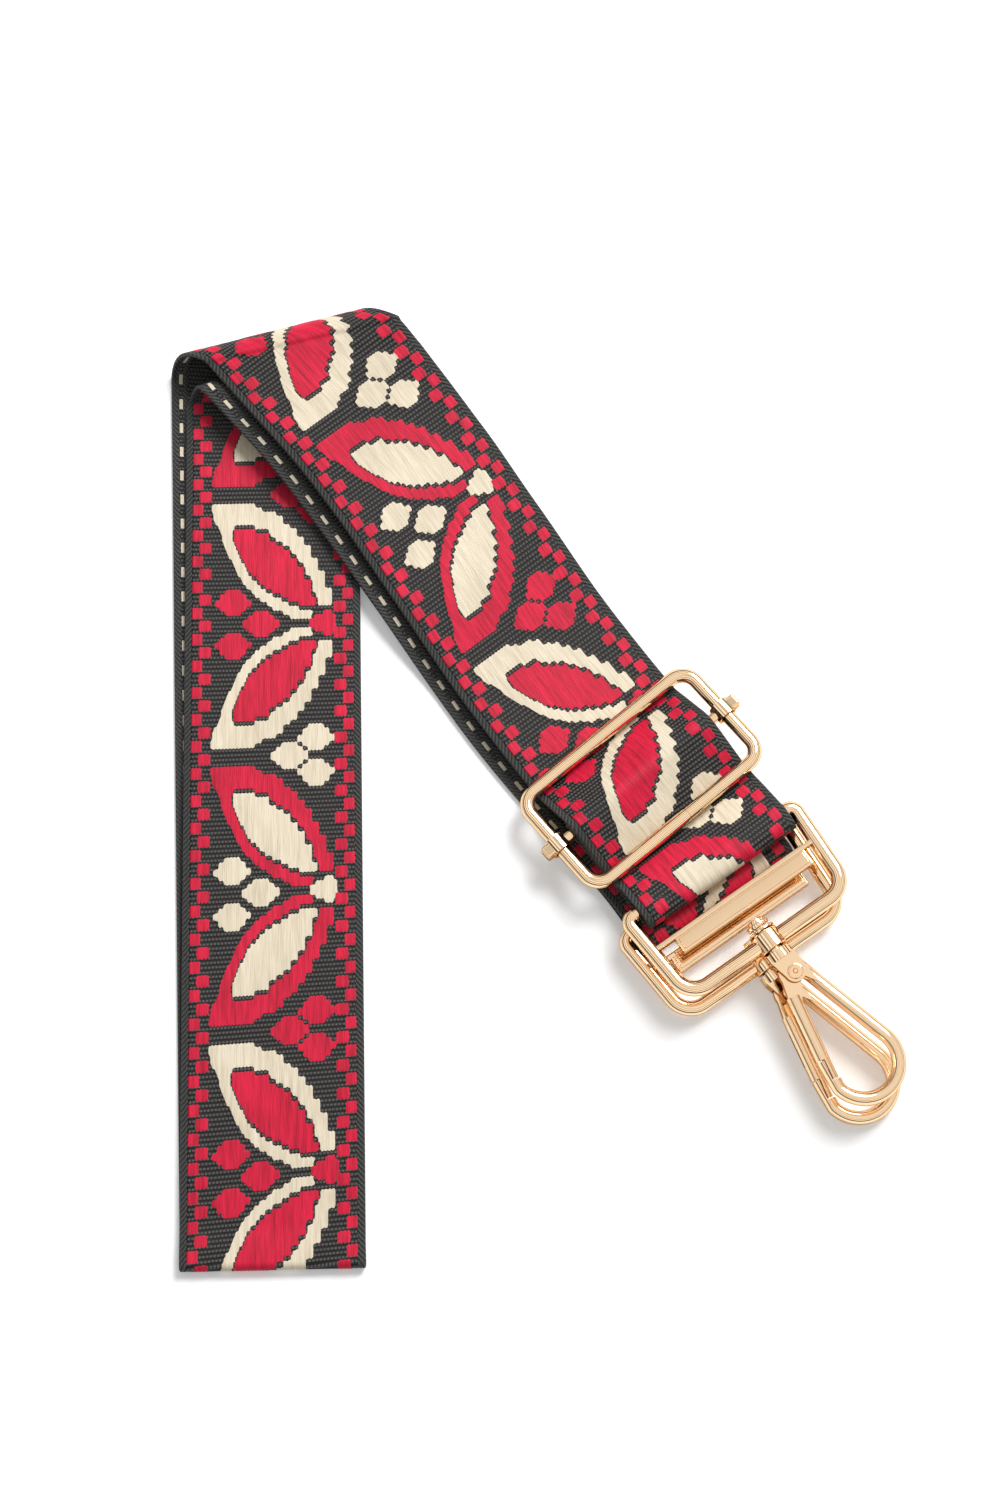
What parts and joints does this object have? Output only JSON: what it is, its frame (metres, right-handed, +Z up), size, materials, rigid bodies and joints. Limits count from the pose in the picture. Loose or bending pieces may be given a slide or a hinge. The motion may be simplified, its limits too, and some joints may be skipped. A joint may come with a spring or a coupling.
{
  "type": "bag strap",
  "caption": "Detachable bag strap of wide patterned webbing with a slider for its length and a swivel snap hook at each end, folded in half.",
  "frame": {"origin": "middle of the strap's footprint, on the surface it lies on", "axes": "+Z up from the surface, +Y away from the hooks along the right arm, +X towards the right arm's outer edge"},
  "size_m": [0.2124, 0.295, 0.018],
  "materials": {
    "webbing": "jacquard weave",
    "gold_plate": "polished plate",
    "spring_steel": "drawn wire"
  },
  "bodies": {
    "strap": {"webbing": "webbing", "slider_bar": "gold_plate"},
    "slider": {"slider_frame": "gold_plate"},
    "hook_a_swing": {"hook_a_frame": "gold_plate", "hook_a_swivel_washer": "gold_plate"},
    "hook_a_turn": {"hook_a_swivel_pin": "gold_plate", "hook_a_body": "gold_plate", "hook_a_gate_rivet": "gold_plate", "hook_a_gate_spring": "spring_steel"},
    "hook_a_thumb_gate": {"hook_a_gate": "gold_plate"},
    "hook_b_swing": {"hook_b_frame": "gold_plate", "hook_b_swivel_washer": "gold_plate"},
    "hook_b_turn": {"hook_b_swivel_pin": "gold_plate", "hook_b_body": "gold_plate", "hook_b_gate_rivet": "gold_plate", "hook_b_gate_spring": "spring_steel"},
    "hook_b_thumb_gate": {"hook_b_gate": "gold_plate"}
  },
  "joints": [
    {"name": "slider_slide", "type": "slide", "parent": "strap", "child": "slider", "axis": [-0.0834, 0.9927, -0.0872], "range_m": [-0.0009, 0.0009]},
    {"name": "hook_a_frame_hinge", "type": "hinge", "parent": "strap", "child": "hook_a_swing", "pos_m": [0.07522, -0.06427, 0.01071], "axis": [-1, 0, 0], "range_deg": [0, 120]},
    {"name": "hook_a_swivel", "type": "hinge", "parent": "hook_a_swing", "child": "hook_a_turn", "pos_m": [0.07522, -0.09153, 0.01214], "axis": [0, 0.9996, 0.0279], "range_deg": [-12, 12]},
    {"name": "hook_a_gate_hinge", "type": "hinge", "parent": "hook_a_turn", "child": "hook_a_thumb_gate", "pos_m": [0.07572, -0.10237, 0.01184], "axis": [0, -0.0279, 0.9996], "range_deg": [0, 22], "stiffness_Nm_per_rad": 0.08, "springref_deg": -20.05, "deforming": ["hook_a_gate_spring"]},
    {"name": "hook_b_frame_hinge", "type": "hinge", "parent": "strap", "child": "hook_b_swing", "pos_m": [0.0724, -0.06725, 0.00336], "axis": [1, 0, 0], "range_deg": [0, 120]},
    {"name": "hook_b_swivel", "type": "hinge", "parent": "hook_b_swing", "child": "hook_b_turn", "pos_m": [0.0724, -0.09454, 0.00417], "axis": [0, 0.9996, 0.0297], "range_deg": [-12, 12]},
    {"name": "hook_b_gate_hinge", "type": "hinge", "parent": "hook_b_turn", "child": "hook_b_thumb_gate", "pos_m": [0.0729, -0.10538, 0.00385], "axis": [0, -0.0297, 0.9996], "range_deg": [0, 22], "stiffness_Nm_per_rad": 0.08, "springref_deg": -20.05, "deforming": ["hook_b_gate_spring"]}
  ]
}
